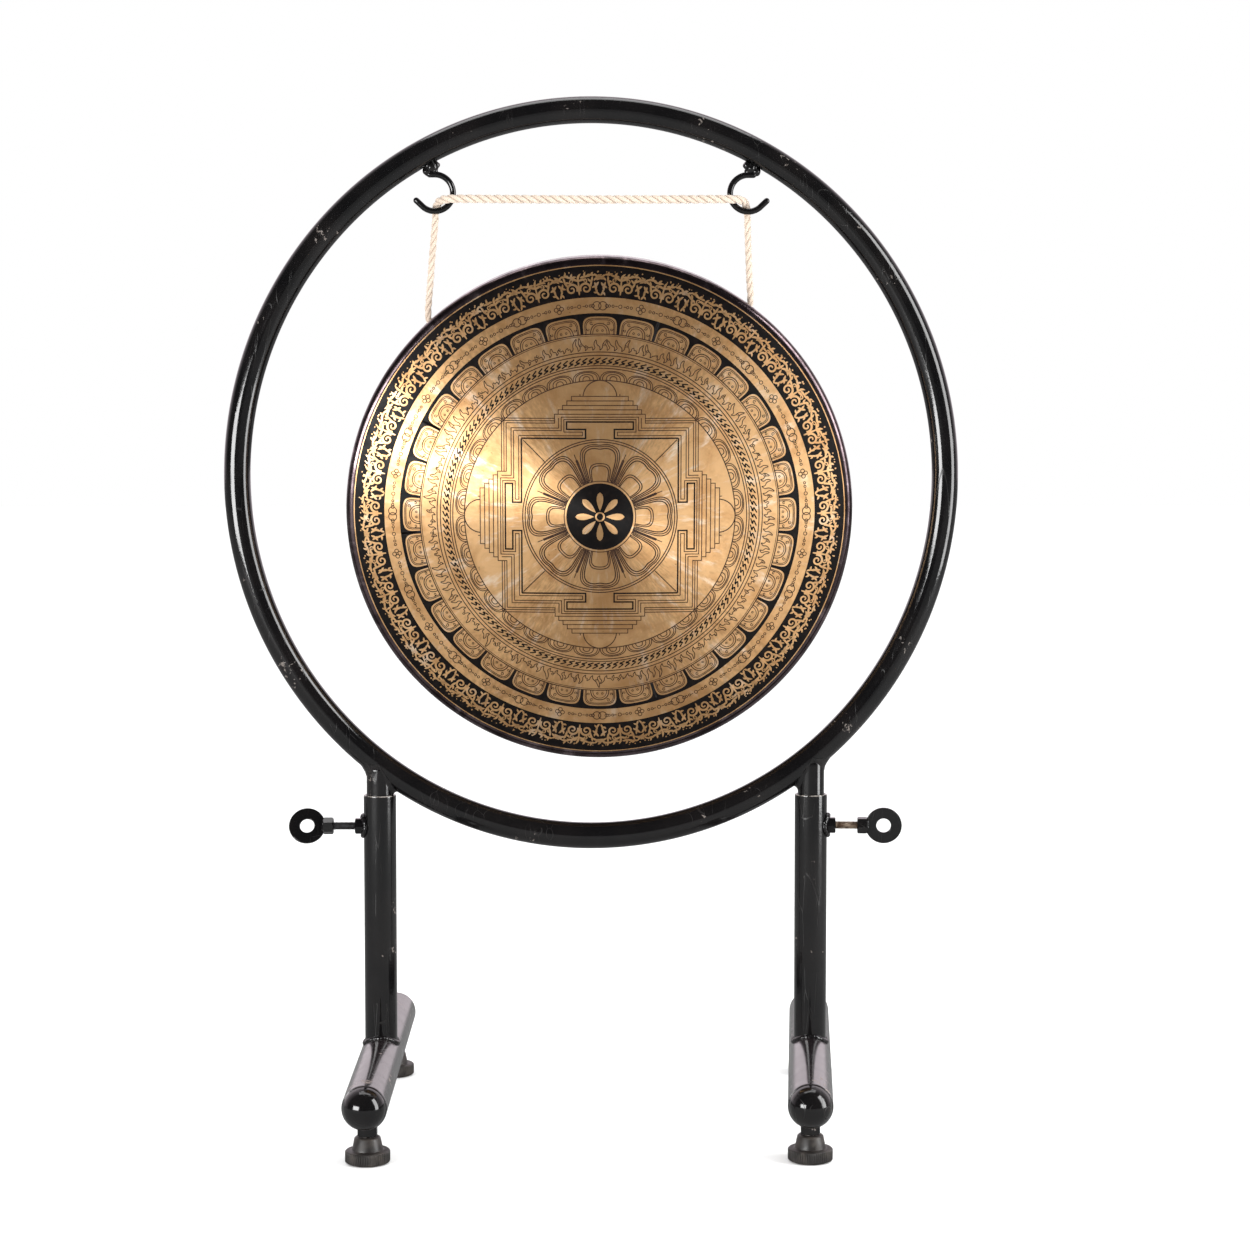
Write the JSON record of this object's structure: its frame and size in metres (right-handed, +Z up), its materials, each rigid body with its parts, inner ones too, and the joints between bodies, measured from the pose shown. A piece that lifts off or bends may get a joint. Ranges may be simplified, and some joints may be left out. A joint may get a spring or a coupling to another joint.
{
  "type": "tam tam gong on a round stand",
  "caption": "Domed bronze tam tam gong hung by a rope from hooks inside a round tubular steel stand with clamped telescopic swivelling legs and levelling feet.",
  "frame": {"origin": "on the floor, at the centre of the footprint, in the plane of the hoop", "axes": "+Z up, -Y out of the gong's face, +X to the right as seen from the front"},
  "size_m": [0.7214, 0.462, 1.0059],
  "materials": {
    "black_paint": "gloss black paint with small chips",
    "foot_paint": "gloss black paint, scuffed",
    "weld_paint": "gloss paint over rough weld",
    "bare_thread": "bare thread with brown stain",
    "nylon": "natural nylon",
    "knob_plastic": "satin moulded plastic",
    "pad_rubber": "matt",
    "gong_bronze": "lathe-turned bronze with black lacquered ornament and dark rim",
    "cotton_rope": "three-strand twisted cotton"
  },
  "bodies": {
    "hoop_frame": {"hoop": "black_paint", "left_spigot": "black_paint", "right_spigot": "black_paint", "left_spigot_weld": "weld_paint", "right_spigot_weld": "weld_paint", "left_hook": "black_paint", "right_hook": "black_paint", "hook_welds": "weld_paint", "rope_span": "cotton_rope"},
    "left_glide": {"left_glide": "nylon"},
    "right_glide": {"right_glide": "nylon"},
    "left_leg": {"left_post": "black_paint", "left_post_weld": "weld_paint", "left_foot_tube": "foot_paint", "left_foot_balls": "black_paint", "left_foot_nuts": "black_paint", "left_clamp_nut": "black_paint", "left_clamp_weld": "weld_paint"},
    "left_clamp_screw": {"left_clamp_rod": "black_paint", "left_clamp_head": "black_paint", "left_clamp_eye": "black_paint"},
    "front_left_pad": {"front_left_pad": "pad_rubber"},
    "front_left_foot": {"front_left_stud": "bare_thread", "front_left_knob": "knob_plastic"},
    "rear_left_pad": {"rear_left_pad": "pad_rubber"},
    "rear_left_foot": {"rear_left_stud": "bare_thread", "rear_left_knob": "knob_plastic"},
    "right_leg": {"right_post": "black_paint", "right_post_weld": "weld_paint", "right_foot_tube": "foot_paint", "right_foot_balls": "black_paint", "right_foot_nuts": "black_paint", "right_clamp_nut": "black_paint", "right_clamp_weld": "weld_paint"},
    "right_clamp_screw": {"right_clamp_rod": "bare_thread", "right_clamp_head": "black_paint", "right_clamp_eye": "black_paint"},
    "front_right_pad": {"front_right_pad": "pad_rubber"},
    "front_right_foot": {"front_right_stud": "bare_thread", "front_right_knob": "knob_plastic"},
    "rear_right_pad": {"rear_right_pad": "pad_rubber"},
    "rear_right_foot": {"rear_right_stud": "bare_thread", "rear_right_knob": "knob_plastic"},
    "rope_sling": {"left_rope_drop": "cotton_rope", "right_rope_drop": "cotton_rope", "rope_knots": "cotton_rope"},
    "gong": {"gong": "gong_bronze"}
  },
  "joints": [
    {"name": "left_leg_swivel", "type": "hinge", "parent": "hoop_frame", "child": "left_glide", "pos_m": [-0.21, 0, 0.213], "axis": [0, 0, 1], "range_deg": [-60, 60]},
    {"name": "left_leg_height", "type": "slide", "parent": "left_glide", "child": "left_leg", "axis": [0, 0, -1], "range_m": [0, 0.1]},
    {"name": "left_clamp_turn", "type": "hinge", "parent": "left_leg", "child": "left_clamp_screw", "pos_m": [-0.21, 0, 0.291], "axis": [-1, 0, 0], "range_deg": [0, 360]},
    {"name": "front_left_foot_lift", "type": "slide", "parent": "left_leg", "child": "front_left_pad", "axis": [0, 0, -1], "range_m": [0, 0.01051]},
    {"name": "front_left_foot_turn", "type": "hinge", "parent": "front_left_pad", "child": "front_left_foot", "pos_m": [-0.21, -0.175, 0.012], "axis": [0, 0, -1], "range_deg": [0, 2160]},
    {"name": "rear_left_foot_lift", "type": "slide", "parent": "left_leg", "child": "rear_left_pad", "axis": [0, 0, -1], "range_m": [0, 0.01051]},
    {"name": "rear_left_foot_turn", "type": "hinge", "parent": "rear_left_pad", "child": "rear_left_foot", "pos_m": [-0.21, 0.175, 0.012], "axis": [0, 0, -1], "range_deg": [0, 2160]},
    {"name": "right_leg_swivel", "type": "hinge", "parent": "hoop_frame", "child": "right_glide", "pos_m": [0.217, 0, 0.213], "axis": [0, 0, 1], "range_deg": [-55.3, 64.7]},
    {"name": "right_leg_height", "type": "slide", "parent": "right_glide", "child": "right_leg", "axis": [0, 0, -1], "range_m": [0, 0.1]},
    {"name": "right_clamp_turn", "type": "hinge", "parent": "right_leg", "child": "right_clamp_screw", "pos_m": [0.217, 0, 0.291], "axis": [0.9966, -0.0819, 0], "range_deg": [0, 360]},
    {"name": "front_right_foot_lift", "type": "slide", "parent": "right_leg", "child": "front_right_pad", "axis": [0, 0, -1], "range_m": [0, 0.01051]},
    {"name": "front_right_foot_turn", "type": "hinge", "parent": "front_right_pad", "child": "front_right_foot", "pos_m": [0.20266, -0.17441, 0.012], "axis": [0, 0, -1], "range_deg": [0, 2160]},
    {"name": "rear_right_foot_lift", "type": "slide", "parent": "right_leg", "child": "rear_right_pad", "axis": [0, 0, -1], "range_m": [0, 0.01051]},
    {"name": "rear_right_foot_turn", "type": "hinge", "parent": "rear_right_pad", "child": "rear_right_foot", "pos_m": [0.23134, 0.17441, 0.012], "axis": [0, 0, -1], "range_deg": [0, 2160]},
    {"name": "sling_swing", "type": "hinge", "parent": "hoop_frame", "child": "rope_sling", "pos_m": [0, 0.0078, 0.89475], "axis": [1, 0, 0], "range_deg": [-10, 10]},
    {"name": "gong_swing", "type": "hinge", "parent": "rope_sling", "child": "gong", "pos_m": [0.0078, 0.00775, 0.79617], "axis": [0.9986, -0.0066, 0.0519], "range_deg": [-12, 12]}
  ],
  "couplings": [
    {"joint": "front_left_foot_lift", "follows": "front_left_foot_turn", "m_per_rad": 0.00027852},
    {"joint": "rear_left_foot_lift", "follows": "rear_left_foot_turn", "m_per_rad": 0.00027852},
    {"joint": "front_right_foot_lift", "follows": "front_right_foot_turn", "m_per_rad": 0.00027852},
    {"joint": "rear_right_foot_lift", "follows": "rear_right_foot_turn", "m_per_rad": 0.00027852}
  ]
}
